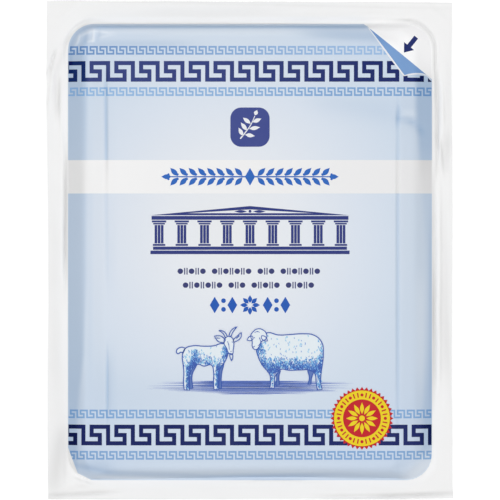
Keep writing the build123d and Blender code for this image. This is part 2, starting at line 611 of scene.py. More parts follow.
web_thickness = 0.3 * mm
pocket_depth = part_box("tray")[1].z - web_thickness
draft = math.radians(16)
floor_fillet = 4.5 * mm
rim_fillet = 0.9 * mm
rim_step = 0.5 * mm
rim_steps = 25
floor_steps = [Vector((9 * mm, 0))] * 4
corner_cuts = 14
side_edge_cuts = 59


def pocket_profile():
    """Steps of the pocket from the rim to its floor: how far inside the mouth, and the height."""
    tangent = math.tan((math.pi / 2 - draft) / 2)
    rim_centre = Vector((-rim_fillet * tangent, pocket_depth - rim_fillet))
    floor_centre = Vector((pocket_depth * math.tan(draft) + floor_fillet * tangent, floor_fillet))
    turn = math.pi / 2 - draft
    steps = []
    for i in range(5):
        angle = math.pi / 2 - turn * i / 4
        steps.append(rim_centre + rim_fillet * Vector((math.cos(angle), math.sin(angle))))
    for i in range(13):
        angle = draft + turn * i / 12
        steps.append(floor_centre - floor_fillet * Vector((math.cos(angle), math.sin(angle))))
    first, last = steps[4], steps[5]
    wall = [first.lerp(last, share) for share in (0.25, 0.5, 0.75)]
    return steps[:5] + wall + steps[5:]


profile = pocket_profile()
bpy.ops.object.select_all(action="DESELECT")
bpy.ops.mesh.primitive_plane_add(size=2, location=(0, 0, 0))
web = start_piece("lower_web")
start_half = mouth_half - Vector((profile[0].x, profile[0].x))
bpy.ops.transform.resize(value=(start_half.x, start_half.y, 1))
bpy.ops.transform.translate(value=(mouth_middle.x, mouth_middle.y, pocket_depth))
bpy.ops.mesh.bevel(affect="VERTICES", offset=mouth_corner - profile[0].x, segments=corner_cuts)
pick(web, "EDGE", lambda edge: (web.data.vertices[edge.vertices[0]].co
                                - web.data.vertices[edge.vertices[1]].co).length > 20 * mm)
bpy.ops.mesh.subdivide(number_cuts=side_edge_cuts)
bpy.ops.mesh.select_mode(type="FACE")
bpy.ops.mesh.select_all(action="SELECT")
size = start_half.copy()
for step in [after - before for before, after in zip(profile, profile[1:])] + floor_steps:
    bpy.ops.mesh.extrude_region_move(TRANSFORM_OT_translate={"value": (0, 0, step.y)})
    drawn_in = size - Vector((step.x, step.x))
    bpy.ops.transform.resize(value=(drawn_in.x / size.x, drawn_in.y / size.y, 1),
                             center_override=(mouth_middle.x, mouth_middle.y, 0))
    size = drawn_in
pick(web, "VERT", lambda vertex: beyond_mouth(vertex.co.x, vertex.co.y) > -profile[0].x - 0.01 * mm)
bpy.ops.mesh.select_mode(type="EDGE")
size = start_half.copy()
for _ in range(rim_steps):
    bpy.ops.mesh.extrude_edges_move()
    grown = size + Vector((rim_step, rim_step))
    bpy.ops.transform.resize(value=(grown.x / size.x, grown.y / size.y, 1),
                             center_override=(mouth_middle.x, mouth_middle.y, pocket_depth))
    size = grown
for axis, reach in ((0, half_width), (1, half_length)):
    for side in (1, -1):
        cut(on_axis(axis, side * reach), on_axis(axis, side), drop_outer=True)
bpy.ops.object.mode_set(mode="OBJECT")
ripple_rim(web)
apply(web, "SOLIDIFY", thickness=web_thickness, offset=1)
bpy.ops.object.shade_smooth_by_angle(angle=math.radians(50))

finish, tree, shader, place = film_finish("white_web")
cloudy = blend(tree, clouds(tree, place, 30 * mm), tint(228, 229, 230), tint(238, 238, 238))
tree.links.new(cloudy, shader.inputs["Base Color"])
web.data.materials.append(finish)
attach(web, "root")
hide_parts("tray")


# ------------------------------------------------------------------ key bands
# Greek key printed across the film and off both its sides: a navy band near the head and another near
# the foot, each between two fine bands in light blue. The fold of the peel corner cuts the head ones.

above_film = film_high.z + 3 * mm
ink_thickness = 0.05 * mm
ink_lift = 0.03 * mm
ink_shine = 0.06
print_margin = 0.1 * mm
fine_cell = 0.4 * mm
# One turn of the key, row by row from its head, with 1 for ink.
key = ("111110", "100010", "111010", "001010", "111011")
key_start = -42.72 * mm
large_pitch = 6.597 * mm
small_pitch = 2.639 * mm


def ink(name, high, low, axis="Y", reach=(-66, 66), shade=soft_shade):
    """A printing ink with painted light: its colour runs from the low to the high end of its reach, along
    or across the pack.
    """
    finish, tree, shader, place = film_finish(name)
    share = scale(tree, split_up(tree, place)[axis], reach[0] * mm, reach[1] * mm)
    # The colour's change over the reach is painted light and painted sheen.
    colour = blend(tree, share, tint(*low), tint(*high))
    paler = blend(tree, 0.02, colour, (1, 1, 1, 1))
    uneven = blend(tree, clouds(tree, place, 6 * mm), colour, paler)
    tree.links.new(darken(tree, uneven, shade), shader.inputs["Base Color"])
    shader.inputs["Specular IOR Level"].default_value = ink_shine
    return finish


def heading(turn):
    """Direction of a turn in degrees, counted from the print's right."""
    return Vector((math.cos(math.radians(turn)), math.sin(math.radians(turn))))


def trim_to_mouth():
    """Cuts the open print along the mouth's straight sides and round its corners."""
    for turn in range(0, 360, 15):
        out = heading(turn)
        corner = Vector((math.copysign(mouth_half.x - mouth_corner, out.x),
                         math.copysign(mouth_half.y - mouth_corner, out.y)))
        place = mouth_middle + corner + out * (mouth_corner - print_margin)
        cut((*place, 0), (*out, 0), drop_outer=True)
    for start, end in zip(turned_in, turned_in[1:]):
        cut((*start, 0), (end.y - start.y, start.x - end.x, 0), drop_outer=True)


def trim_to_fold(piece):
    """Takes away what the turned-back corner hides: right of its crease and above its lower edge."""
    crease = (peel_foot - peel_head).normalized()
    beyond = Vector((-crease.y, crease.x))
    for place, normal in ((peel_foot, beyond), (peel_foot, Vector((0, 1)))):
        cut((*place, 0), (*normal, 0))
    pick(piece, "FACE", lambda face: (face.center.xy - peel_head).dot(beyond) > 0
         and face.center.y > peel_foot.y)
    bpy.ops.mesh.delete(type="FACE")
    cut((*(peel_side - Vector((0, 0.5 * mm))), 0), (1, 1, 0), drop_outer=True)


def cut_fine(piece):
    """Cuts the open print into small cells, so that it follows the film's slopes."""
    bpy.ops.object.mode_set(mode="OBJECT")
    points = [vertex.co.copy() for vertex in piece.data.vertices]
    bpy.ops.object.mode_set(mode="EDIT")
    for axis in (0, 1):
        low = min(point[axis] for point in points)
        high = max(point[axis] for point in points)
        for i in range(1, math.ceil((high - low) / fine_cell)):
            cut(on_axis(axis, low + i * fine_cell), on_axis(axis))


def lay_print(piece, layer, finish):
    """Drops a flat print onto the film and gives its ink a thickness and a finish."""
    bpy.ops.object.mode_set(mode="OBJECT")
    lifts = [vertex.co.z - above_film + layer * ink_lift for vertex in piece.data.vertices]
    drop_onto(piece, film)
    for vertex, lift in zip(piece.data.vertices, lifts):
        vertex.co.z += lift
    # The ink gets the painted shade of the film under it.
    mark_shade(piece)
    apply(piece, "SOLIDIFY", thickness=ink_thickness, offset=-1)
    bpy.ops.object.shade_smooth_by_angle(angle=math.radians(40))
    piece.data.materials.append(finish)
    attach(piece, "root")


def key_band(name, foot, head, pitch, finish):
    """Prints one band of the key between two heights on the pack, in millimetres."""
    unit = pitch / len(key[0])
    repeats = math.ceil(2 * half_width / pitch) + 1
    left = key_start - math.ceil((half_width + key_start) / pitch) * pitch
    wide = repeats * pitch
    high = (head - foot) * mm
    bpy.ops.object.select_all(action="DESELECT")
    bpy.ops.mesh.primitive_grid_add(x_subdivisions=repeats * len(key[0]), y_subdivisions=len(key), size=1)
    band = start_piece(name)
    bpy.ops.transform.resize(value=(wide, high, 1))
    bpy.ops.transform.translate(value=(left + wide / 2, (foot + head) / 2 * mm, above_film))

    def blank(face):
        column = int((face.center.x - left) / unit) % len(key[0])
        row = int((head * mm - face.center.y) / high * len(key))
        return key[row][column] == "0"

    pick(band, "FACE", blank)
    bpy.ops.mesh.delete(type="FACE")
    if unit > 0.5 * mm:
        bpy.ops.mesh.select_all(action="SELECT")
        bpy.ops.mesh.subdivide(number_cuts=2)
    trim_to_mouth()
    if foot > 0:
        trim_to_fold(band)
    lay_print(band, 1, finish)


navy_shade = (9.0, 6.5, 4.5)
# Painted reflection: the head navy is lighter than the foot navy, and each is painted lighter towards one
# side.
navy = ink("navy_head_ink", (16, 34, 100), (50, 63, 124), "X", (-8, 32), navy_shade)
navy_foot = ink("navy_foot_ink", (16, 32, 97), (0, 21, 88), "X", (-46, 10), navy_shade)
key_band("key_band_head", 44.8, 50.3, large_pitch, navy)
key_band("key_band_foot", -52.0, -46.5, large_pitch, navy_foot)
# The first two fine keys are painted lighter towards one side: painted light.
for name, foot, head, right, left in (
    ("fine_key_1", 52.0, 54.3, (158, 191, 229), (115, 153, 203)),
    ("fine_key_2", 41.0, 43.3, (130, 169, 214), (153, 190, 229)),
    ("fine_key_3", -44.8, -42.5, (135, 174, 218), (135, 174, 218)),
    ("fine_key_4", -55.8, -53.5, (133, 170, 214), (133, 170, 214)),
):
    key_band(name, foot, head, small_pitch, ink(name + "_ink", right, left, "X", (-42, 30)))


# ------------------------------------------------------------------ peel corner
# The print makes the head's right corner look turned back: the blue back of the label folded over a
# corner of bare white film, white along its creases, with an arrow that says which way to pull.

stroke_lift = 0.00005 * mm
back_blue = ink("label_back_ink", (124, 162, 212), (124, 162, 212))
white_ink = ink("white_ink", (240, 241, 244), (236, 238, 243))


def draw(curve, points, closed=True, height=0.0):
    """Adds a line through points in millimetres, round at each but those marked as corners."""
    line = curve.splines.new("BEZIER")
    line.bezier_points.add(len(points) - 1)
    for knot, (x, y, *mark) in zip(line.bezier_points, points):
        knot.co = (x * mm, y * mm, height)
        is_corner = "corner" in mark
        knot.handle_left_type = knot.handle_right_type = "VECTOR" if is_corner else "AUTO"
        knot.radius = next((m for m in mark if m != "corner"), 1.0)
    line.use_cyclic_u = closed


def start_curve(name, dimensions):
    """Opens an empty drawing, alone chosen."""
    curve = bpy.data.curves.new(name, "CURVE")
    curve.dimensions = dimensions
    drawing = bpy.data.objects.new(name, curve)
    bpy.context.scene.collection.objects.link(drawing)
    bpy.ops.object.select_all(action="DESELECT")
    drawing.select_set(True)
    bpy.context.view_layer.objects.active = drawing
    return curve


def print_drawing(name, layer, finish, on_slope):
    """Turns the chosen drawing into a mesh and lays it on the film, cut finely where the film slopes."""
    bpy.ops.object.convert(target="MESH")
    piece = start_piece(name)
    bpy.ops.transform.translate(value=(0, 0, above_film))
    if on_slope:
        cut_fine(piece)
    lay_print(piece, layer, finish)


def print_shapes(name, outlines, layer, finish, smoothness=6, on_slope=False):
    """Prints closed shapes filled with ink."""
    curve = start_curve(name, "2D")
    curve.fill_mode = "BOTH"
    curve.resolution_u = smoothness
    for outline in outlines:
        draw(curve, outline)
    print_drawing(name, layer, finish, on_slope)


def print_lines(name, lines, width, layer, finish, closed=False, smoothness=4, on_slope=False):
    """Prints lines as a pen draws them, wider where a point presses harder."""
    nib_curve = bpy.data.curves.new("nib", "CURVE")
    tip = nib_curve.splines.new("POLY")
    tip.points.add(1)
    tip.points[0].co = (-width / 2 * mm, 0, 0, 1)
    tip.points[1].co = (width / 2 * mm, 0, 0, 1)
    nib = bpy.data.objects.new("nib", nib_curve)
    bpy.context.scene.collection.objects.link(nib)
    curve = start_curve(name, "3D")
    curve.bevel_mode = "OBJECT"
    curve.bevel_object = nib
    curve.resolution_u = smoothness
    for i, line in enumerate(lines):
        draw(curve, line, closed, i * stroke_lift)
    print_drawing(name, layer, finish, on_slope)
    bpy.data.objects.remove(nib)


def leaf(x, y, turn, length, width):
    """A pointed leaf that grows from a place in a direction, in millimetres and degrees."""
    along = heading(turn)
    across = Vector((-along.y, along.x)) * width / 2
    root = Vector((x, y))
    middle = root + along * length * 0.45
    tip = root + along * length
    return [(*root, "corner"), (*(middle - across),), (*tip, "corner"), (*(middle + across),)]


def bar(x, y, turn, length, width):
    """A straight bar about its middle."""
    along = heading(turn) * length / 2
    across = Vector((-along.y, along.x)).normalized() * width / 2
    middle = Vector((x, y))
    ends = ((1, -1), (1, 1), (-1, 1), (-1, -1))
    return [(*(middle + a * along + b * across), "corner") for a, b in ends]


def ring(x, y, radius, count=8):
    """Points round a disc."""
    turns = (2 * math.pi * i / count for i in range(count))
    return [(x + radius * math.cos(turn), y + radius * math.sin(turn)) for turn in turns]


head_x, head_y = peel_head / mm
foot_x, foot_y = peel_foot / mm
side_x, side_y = peel_side / mm
lower_edge = [(foot_x + 1.6, foot_y + 0.35), (foot_x + 3.6, foot_y + 0.55), (foot_x + 5.4, foot_y + 0.35)]
print_shapes("label_back", [
    [(head_x, head_y, "corner"), (foot_x, foot_y, "corner"), *lower_edge, (side_x, side_y, "corner")],
], 1, back_blue, on_slope=True)
print_lines("label_creases", [
    [(head_x - 0.4, head_y + 0.5, 0.5), (36.2, 52.8, 1.1), (foot_x, foot_y, 0.9)],
    [(foot_x, foot_y, 0.5), *lower_edge, (side_x, side_y - 0.1, 0.8), (48.1, 45.3, 0.4)],
], 0.42, 2, white_ink, on_slope=True)
pull = Vector((-0.62, -0.78))
pull_turn = math.degrees(math.atan2(pull.y, pull.x))
arrow_middle = Vector((42.6, 54.6))
arrow_tip = arrow_middle + pull * 2.6
arrow_neck = arrow_middle + pull * 0.4
barb = Vector((-pull.y, pull.x)) * 1.7
print_shapes("pull_arrow", [
    bar(*(arrow_middle - pull * 1.15), pull_turn, 3.1, 1.25),
    [(*arrow_tip, "corner"), (*(arrow_neck + barb), "corner"), (*(arrow_neck - barb), "corner")],
], 1, navy, on_slope=True)


# ------------------------------------------------------------------ badge
# A small navy badge with rounded corners, printed where a dairy sets its mark; here it holds a sprig
# of olive, which is no one's mark.

badge_y = 32.7
badge_size = 10.45
badge_corner = 2.9
badge_navy = ink("badge_ink", (65, 77, 144), (59, 71, 137))

bpy.ops.object.select_all(action="DESELECT")
bpy.ops.mesh.primitive_plane_add(size=badge_size * mm, location=(0, 0, 0))
badge = start_piece("badge")
bpy.ops.transform.translate(value=(0, badge_y * mm, above_film))
bpy.ops.mesh.bevel(affect="VERTICES", offset=badge_corner * mm, segments=10)
lay_print(badge, 1, badge_navy)

sprig = [(-2.6, -3.1, 1.2), (-1.3, -1.5, 1.0), (0.2, 0.6, 0.8), (1.3, 3.0, 0.6)]
print_lines("sprig_stem", [[(x, badge_y + y, press) for x, y, press in sprig]], 0.3, 2, white_ink)
print_shapes("sprig_leaves", [
    leaf(x, badge_y + y, turn, length, 1.05)
    for x, y, turn, length in (
        (-1.85, -2.35, 118, 2.5), (-1.35, -2.0, -8, 2.7), (-0.75, -0.95, 128, 2.8), (-0.25, -0.45, 8, 3.0),
        (0.2, 0.9, 142, 2.7), (0.65, 1.3, 22, 2.6), (1.3, 3.15, 66, 1.5),
    )
], 2, white_ink)


# ------------------------------------------------------------------ garland
# A garland in mid blue along the white band, where the pack says what sort of cheese it is: leaves in
# pairs that grow from a diamond in the middle, with berries between them.

garland_y = band_middle / mm
garland_half = 23.6
leaf_lean = 46
garland_blue = ink("garland_ink", (47, 106, 192), (43, 100, 186))
leaf_pairs = 8
pair_pitch = (garland_half - 4.0) / leaf_pairs


def diamond(x, y, half_wide, half_high):
    """An upright diamond about its middle."""
    return [(x, y + half_high, "corner"), (x - half_wide, y, "corner"), (x, y - half_high, "corner"),
            (x + half_wide, y, "corner")]


leaves = []
berries = []
stems = []
for side in (-1, 1):
    for i in range(leaf_pairs):
        x = side * (2.0 + i * pair_pitch)
        for lean in (-1, 1):
            turn = lean * leaf_lean if side > 0 else 180 - lean * leaf_lean
            leaves.append(leaf(x, garland_y + lean * 0.2, turn, 3.0, 1.3))
            berries.append(ring(x + side * 2.55, garland_y + lean * 0.62, 0.3))
    leaves.append(leaf(side * (garland_half - 2.7), garland_y, 90 - side * 90, 2.7, 1.3))
    stems.append([(side * 1.3, garland_y, 1.0), (side * (garland_half - 2.6), garland_y, 0.8)])
leaves.append(diamond(0, garland_y, 1.35, 2.35))
print_shapes("garland_leaves", leaves, 2, garland_blue)
print_shapes("garland_berries", berries, 1, garland_blue, 2)
print_lines("garland_stems", stems, 0.36, 1, garland_blue)


# ------------------------------------------------------------------ colonnade
# The large navy picture in the middle of the label: a Greek colonnade with its steps, nine fluted
# columns, a beam and a low gable.

colonnade_ink = ink("colonnade_ink", (50, 61, 129), (44, 55, 119))
colonnade_foot = -1.1
columns = 9
column_pitch = 6.05
column_height = 6.0
column_width = 2.5
flute_pitch = column_width / 3
flute_gap = 0.14
step_gap = 0.2
steps = ((53.0, 0.95), (51.6, 0.85))

blocks = []
top = colonnade_foot
for width, height in steps:
    blocks.append(bar(0, top + height / 2, 0, width, height))
    top += height + step_gap
for i in range(columns):
    x = (i - (columns - 1) / 2) * column_pitch
    blocks.append(bar(x, top + 0.25, 0, 3.3, 0.5))
    for flute in (-1, 0, 1):
        blocks.append(bar(x + flute * flute_pitch, top + column_height / 2 + 0.1, 0,
                          flute_pitch - flute_gap, column_height - 1.1))
    blocks.append(bar(x, top + column_height - 0.1, 0, 3.1, 0.4))
    blocks.append(bar(x, top + column_height + 0.5, 0, 3.8, 0.5))
top += column_height + 0.95
blocks.append(bar(0, top + 0.5, 0, 52.4, 1.0))
top += 1.2
gable = [(-26.5, top, "corner"), (26.5, top, "corner"), (0, colonnade_foot + 12.8, "corner")]
opening = [(-17.0, top + 0.55, "corner"), (0, colonnade_foot + 11.9, "corner"),
           (17.0, top + 0.55, "corner")]
blocks += [gable, opening]
print_shapes("colonnade", blocks, 1, colonnade_ink)
print_shapes("gable_flower", [ring(0, top + 1.05, 0.38)] + [
    leaf(side * 0.8, top + 1.0, 90 - side * 90, 3.4, 0.7) for side in (-1, 1)], 1, colonnade_ink)


# ------------------------------------------------------------------ bead rows
# Two rows of small navy ornament under the picture, beads between pairs of thin reels, in groups as
# long as the words of a short sentence.

bead_ink = ink("bead_ink", (62, 67, 118), (57, 62, 112))
bead_length = 1.5
bead_height = 1.45
bead_gap = 0.42
reel_height = 1.75
reel_width = 0.3
reel_pitch = 0.62
group_gap = 1.2

beads = []
for row_y, row_left, groups in ((-5.65, -19.3, (3, 4, 2, 4)), (-9.35, -17.9, (4, 2, 3, 3))):
    x = row_left
    for group in groups:
        for i in range(group):
            beads.append([(x, row_y), (x + bead_length / 2, row_y + bead_height / 2),
                          (x + bead_length, row_y), (x + bead_length / 2, row_y - bead_height / 2)])
            x += bead_length + bead_gap
            if i < group - 1:
                for _ in range(2):
                    beads.append(bar(x, row_y, 90, reel_height, reel_width))
                    x += reel_pitch
                x -= reel_width / 2
        x += group_gap
print_shapes("bead_rows", beads, 1, bead_ink, 4)


# ------------------------------------------------------------------ rosette row
# A short row of ornament in mid blue under the beads: a flower of eight petals between diamonds and
# discs.

rosette_ink = ink("rosette_ink", (40, 94, 184), (36, 88, 178))
rosette_y = -14.65
rosette_middle = Vector((0, rosette_y))
rosette_pitch = 2.35
rosette = [leaf(*(rosette_middle + heading(turn) * 0.55), turn, 2.1, 1.1) for turn in range(0, 360, 45)]
for side in (-1, 1):
    for step in (2, 4):
        rosette.append(diamond(side * step * rosette_pitch, rosette_y, 1.3, 2.2))
    for up in (1.15, -1.15):
        rosette.append(ring(side * 3 * rosette_pitch, rosette_y + up, 0.62))
print_shapes("rosette_row", rosette, 1, rosette_ink)


# ------------------------------------------------------------------ goat and sheep
# A goat and a sheep that face each other on the label, whose milk the cheese is made of, in the
# manner of an old engraving: white bodies, blue outlines and short strokes where they are in shade.

line_blue = ink("animal_line_ink", (68, 100, 182), (65, 97, 178))
shade_blue = ink("animal_shade_ink", (91, 145, 216), (88, 142, 212))
pale_blue = ink("animal_pale_shade_ink", (160, 210, 239), (156, 206, 235))
far_blue = ink("animal_far_leg_ink", (102, 129, 192), (98, 125, 188))
coat_white = ink("animal_coat_ink", (233, 241, 246), (230, 239, 245))

goat_body = [
    (-7.4, -24.9), (-9.6, -25.5), (-12.4, -25.6), (-15.2, -25.5), (-17.3, -26.3), (-18.0, -28.2),
    (-17.8, -30.4), (-17.6, -32.6), (-17.7, -35.2), (-17.5, -37.2, "corner"), (-16.1, -37.3, "corner"),
    (-16.3, -35.6), (-16.1, -33.4), (-15.2, -31.4), (-13.9, -30.4), (-12.2, -30.9), (-10.3, -30.6),
    (-9.7, -32.2), (-9.7, -35.2), (-9.6, -37.1, "corner"), (-8.3, -37.1, "corner"), (-8.5, -34.6),
    (-8.1, -31.8), (-6.7, -29.7), (-5.9, -27.6), (-5.9, -25.6),
]
goat_far_legs = [
    [(-15.7, -30.6, "corner"), (-14.2, -30.7, "corner"), (-15.4, -33.2), (-15.2, -36.8, "corner"),
     (-16.0, -36.9, "corner"), (-16.1, -33.6)],
    [(-8.6, -30.4, "corner"), (-6.9, -30.2, "corner"), (-7.6, -33.2), (-7.6, -36.9, "corner"),
     (-8.3, -37.0, "corner"), (-8.2, -33.4)],
]
goat_tail = [(-17.3, -26.1, "corner"), (-18.4, -25.9), (-19.6, -26.9), (-19.2, -27.6), (-18.4, -27.2),
             (-17.75, -27.4, "corner")]
goat_head = [(-6.6, -23.5), (-5.6, -23.0), (-4.6, -23.6), (-4.3, -25.0), (-4.5, -26.6), (-4.7, -27.7),
             (-5.5, -27.6), (-6.2, -26.2), (-6.9, -24.8)]
goat_ears = [
    [(-6.5, -23.9, "corner"), (-7.8, -22.9), (-9.5, -22.9, "corner"), (-8.5, -24.3),
     (-6.9, -24.7, "corner")],
    [(-4.5, -23.9, "corner"), (-3.5, -23.0), (-2.3, -21.9, "corner"), (-2.5, -23.4),
     (-4.3, -24.6, "corner")],
]
goat_horns = [
    [(-6.0, -23.1, "corner"), (-6.4, -22.3), (-7.1, -21.6), (-8.3, -21.4, "corner"), (-7.5, -21.9),
     (-6.9, -22.6), (-6.6, -23.3, "corner")],
    [(-5.6, -22.9, "corner"), (-5.3, -21.9), (-4.6, -21.0), (-3.4, -20.4, "corner"), (-4.1, -21.2),
     (-4.7, -22.1), (-5.0, -22.9, "corner")],
]
goat_beard = [(-5.4, -27.5, "corner"), (-4.7, -27.6, "corner"), (-4.6, -28.6), (-4.9, -29.5, "corner"),
              (-5.3, -28.6)]

sheep_body = [
    (4.8, -22.0), (7.4, -22.6), (10.6, -22.5), (14.0, -22.3), (17.1, -22.7), (19.1, -24.6), (19.5, -27.6),
    (19.2, -30.8), (18.9, -32.9), (18.8, -35.4), (19.2, -37.1, "corner"), (17.9, -37.2, "corner"),
    (17.6, -35.2), (17.3, -33.0), (16.2, -32.0), (13.6, -31.9), (10.4, -32.0), (8.0, -31.8), (7.2, -33.0),
    (6.7, -33.4), (6.5, -35.4), (6.4, -36.8, "corner"), (5.3, -36.8, "corner"), (5.5, -34.8), (5.2, -33.0),
    (3.4, -30.8), (2.2, -28.4), (1.7, -26.2), (2.3, -23.4),
]
sheep_far_legs = [
    [(6.8, -32.4, "corner"), (8.1, -32.1, "corner"), (7.7, -33.6), (7.8, -35.9, "corner"),
     (6.9, -36.0, "corner"), (7.1, -34.0)],
    [(15.3, -32.0, "corner"), (17.0, -32.4, "corner"), (16.4, -34.0), (16.2, -35.7, "corner"),
     (15.4, -35.8, "corner"), (15.8, -34.0)],
]
sheep_head = [(0.7, -21.9), (2.0, -21.0), (3.5, -21.3), (4.4, -22.4), (4.3, -23.6), (3.1, -24.3),
              (2.4, -25.8), (1.5, -26.5), (0.7, -25.9), (0.6, -24.2), (0.2, -22.9)]
sheep_ears = [
    [(0.7, -22.9, "corner"), (-0.2, -23.1), (-0.8, -24.0, "corner"), (0.2, -24.1), (0.8, -23.7, "corner")],
    [(3.1, -22.8, "corner"), (4.0, -23.0), (4.7, -24.2, "corner"), (3.7, -24.1), (3.0, -23.5, "corner")],
]


def holds(outline, x, y):
    """Whether an outline goes round a place."""
    found = False
    for (ax, ay, *_), (bx, by, *_) in zip(outline, outline[1:] + outline[:1]):
        if (ay > y) != (by > y) and x < ax + (y - ay) / (by - ay) * (bx - ax):
            found = not found
    return found


def hatch(outline, count, shade, power, length, seed):
    """Short pen strokes inside an outline, more in its shade; a high power keeps them to the darkest."""
    chance = random.Random(seed)
    xs = [point[0] for point in outline]
    ys = [point[1] for point in outline]
    strokes = []
    while len(strokes) < count:
        x = chance.uniform(min(xs), max(xs))
        y = chance.uniform(min(ys), max(ys))
        dark = shade(x, y) ** power
        if dark < chance.random() or not holds(outline, x, y):
            continue
        turn = chance.uniform(-2.2, -0.9)
        reach = length * (0.6 + 0.5 * dark)
        step = Vector((math.cos(turn), math.sin(turn))) * reach / 2
        bend = Vector((-step.y, step.x)) * chance.choice((-0.5, 0.5))
        start, end = Vector((x, y)) - step, Vector((x, y)) + step
        if holds(outline, *start) and holds(outline, *end):
            strokes.append([(*start, 0.3), (x + bend.x, y + bend.y, 0.7 + 0.5 * dark), (*end, 0.2)])
    return strokes


def goat_shade(x, y):
    """Shade of the goat's coat from 0 to 1: its belly, flank, neck and legs."""
    belly = min(max((-27.6 - y) / 3.4, 0), 1) * (0.6 if -16.2 < x < -10.2 else 0.25) * (y > -31.4)
    flank = 0.5 * math.exp(-((x + 14.6) / 0.9) ** 2) * (y < -26.6)
    neck = 0.75 * math.exp(-((x + 6.2) / 0.9) ** 2) * (y < -25.4)
    legs = 0.6 * (-16.9 < x < -12 or x > -9.0) * (y < -31.0)
    return min(0.015 + belly + flank + neck + legs, 1)


def sheep_shade(x, y):
    """Shade of the sheep's wool from 0 to 1: its belly, chest and rear, and less on its legs."""
    belly = min(max((-28.2 - y) / 3.2, 0), 1)
    chest = 0.8 * min(max((4.6 - x) / 2.4, 0), 1) * (y < -23.5)
    rear = 0.5 * math.exp(-((x - 19.2) / 0.8) ** 2)
    leg = 0.6 * (y < -32.8)
    return min(0.03 + belly + chest + rear - leg, 1)


print_shapes("far_legs", goat_far_legs + sheep_far_legs, 2, far_blue)
print_shapes("goat_coat", [goat_body], 3, coat_white)
print_shapes("goat_tail_ears_horns", [goat_tail, *goat_ears, *goat_horns, goat_beard], 3, coat_white)
print_shapes("goat_face", [goat_head], 7, coat_white)
print_shapes("sheep_coat", [sheep_body], 3, coat_white)
print_shapes("sheep_face", [sheep_head], 7, coat_white)
print_shapes("sheep_ears", sheep_ears, 8, coat_white)
print_lines("body_outlines", [goat_body, goat_tail, sheep_body, *goat_far_legs, *sheep_far_legs],
            0.27, 6, line_blue, closed=True)
for name, outline, count, shade, power, length, seed, width, layer, finish in (
    ("goat_coat_tone", goat_body, 190, goat_shade, 0.9, 1.0, 15, 0.42, 4, pale_blue),
    ("goat_coat_strokes", goat_body, 300, goat_shade, 1, 0.8, 5, 0.2, 5, shade_blue),
    ("sheep_wool_tone", sheep_body, 300, sheep_shade, 0.8, 0.9, 16, 0.42, 4, pale_blue),
    ("sheep_wool_strokes", sheep_body, 480, sheep_shade, 1, 0.7, 6, 0.22, 5, shade_blue),
    ("sheep_deep_strokes", sheep_body, 330, sheep_shade, 2, 0.55, 7, 0.2, 6, line_blue),
    ("goat_deep_strokes", goat_body, 190, goat_shade, 2, 0.7, 8, 0.19, 6, line_blue),
):
    strokes = hatch(outline, count, shade, power, length, seed)
    print_lines(name, strokes, width, layer, finish, smoothness=2)
print_lines("head_outlines", [goat_head, goat_beard, *goat_ears, *goat_horns, sheep_head, *sheep_ears],
            0.23, 9, line_blue, closed=True)
print_lines("face_lines", [
    [(-6.0, -24.3, 0.6), (-5.7, -25.0, 0.9), (-5.5, -26.6, 0.5)],
    [(-5.2, -27.1, 0.6), (-4.9, -26.9, 0.8)],
    [(-4.8, -24.4, 1.2), (-4.6, -24.6, 0.8)],
    [(-7.9, -23.5, 0.5), (-8.9, -23.4, 1.4)],
    [(-3.7, -23.6, 0.6), (-2.8, -22.8, 1.3)],
    [(1.0, -23.3, 1.3), (1.3, -23.4, 0.9)],
    [(2.5, -23.3, 1.0), (2.8, -24.6, 0.7), (2.1, -25.6, 0.6)],
    [(0.9, -25.8, 0.7), (1.3, -25.6, 0.9)],
    [(1.2, -22.0, 0.5), (1.9, -21.7, 0.8), (2.6, -21.9, 0.5)],
], 0.2, 10, line_blue)


# ------------------------------------------------------------------ ground under the animals
# The shaded ground that the two stand on, in long thin strokes.

ground_blue = ink("ground_stroke_ink", (98, 123, 198), (94, 119, 194))
ground_reach = 26.4
ground_head = -34.9
ground_depth = 3.5
ground_rows = 48
chance = random.Random(11)
strokes = []
for i in range(ground_rows):
    drop = i / (ground_rows - 1)
    y = ground_head - ground_depth * drop + chance.uniform(-0.04, 0.04)
    reach = ground_reach * math.sqrt(max(1 - (drop * 1.5 - 0.55) ** 2, 0.1)) * chance.uniform(0.5, 1.05)
    middle = chance.uniform(-0.25, 0.25) * (ground_reach - reach) + chance.uniform(-2, 2)
    width = chance.uniform(0.5, 1.25) * (1.0 if abs(drop - 0.3) < 0.35 else 0.7)
    strokes.append([(middle - reach, y, 0.1), (middle - reach * 0.6, y + 0.05, width),
                    (middle + reach * 0.7, y, width), (middle + reach, y - 0.05, 0.1)])
print_lines("ground_strokes", strokes, 0.11, 1, ground_blue, smoothness=6)


# ------------------------------------------------------------------ seal
# A round seal of quality near the foot, printed over the key bands: a red disc with pointed teeth, a
# yellow ring with red studs, and a red middle with a yellow flower. It copies no real seal.

seal_middle = Vector((29.8, -44.8)) * mm
seal_teeth = 40
seal_outer = 8.35 * mm
seal_valley = 0.905
seal_yellow_radius = 7.42 * mm
seal_red_radius = 5.04 * mm
stud_ring = 6.22
stud_count = 36
seal_red = ink("seal_red_ink", (198, 34, 44), (194, 30, 40))
seal_yellow = ink("seal_yellow_ink", (241, 219, 40), (237, 212, 34))


